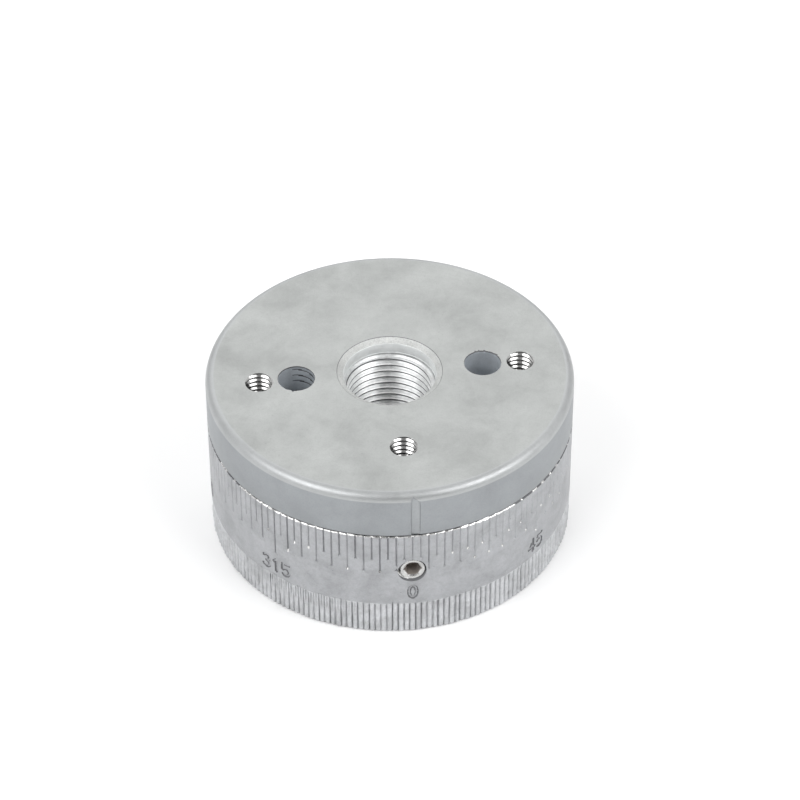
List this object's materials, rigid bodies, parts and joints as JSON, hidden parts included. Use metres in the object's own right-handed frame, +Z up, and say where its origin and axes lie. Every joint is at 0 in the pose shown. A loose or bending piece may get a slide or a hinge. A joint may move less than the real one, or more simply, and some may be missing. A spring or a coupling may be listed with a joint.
{
  "type": "rotary table",
  "caption": "Small round rotary table: a cast table with threaded holes turns on a knurled base with a degree scale and a lock screw.",
  "frame": {"origin": "centre of the base's underside, on the spindle axis", "axes": "+Z up along the spindle axis; -Y towards the zero mark, the index line and the lock screw; +X to the right as seen from the front"},
  "size_m": [0.048, 0.048, 0.024],
  "materials": {
    "cast_table": "matte, blasted",
    "cast_base": "matte, blasted",
    "stainless": "bright",
    "brass": "machined",
    "bearing_plastic": "matte",
    "bronze": "machined",
    "spring_steel": "dark phosphate"
  },
  "bodies": {
    "base": {"graduated_base": "cast_base", "thrust_ring": "bearing_plastic", "spindle_bush": "bronze"},
    "table": {"rotary_table": "cast_table", "retaining_ring": "spring_steel", "retaining_washer": "spring_steel", "disc_spring": "spring_steel"},
    "lock_pad": {"lock_pad": "brass"},
    "lock_screw": {"lock_screw": "stainless"}
  },
  "joints": [
    {"name": "table_turn", "type": "hinge", "parent": "base", "child": "table", "pos_m": [0, 0, 0.017], "axis": [0, 0, 1], "continuous": true},
    {"name": "lock_pad_slide", "type": "slide", "parent": "base", "child": "lock_pad", "axis": [0, -1, 0], "range_m": [0, 0.0014]},
    {"name": "lock_screw_turn", "type": "hinge", "parent": "lock_pad", "child": "lock_screw", "pos_m": [0, -0.024, 0.0111], "axis": [0, -1, 0], "range_deg": [0, 720]}
  ],
  "couplings": [
    {"joint": "lock_screw_turn", "follows": "lock_pad_slide", "rad_per_m": 8976}
  ]
}
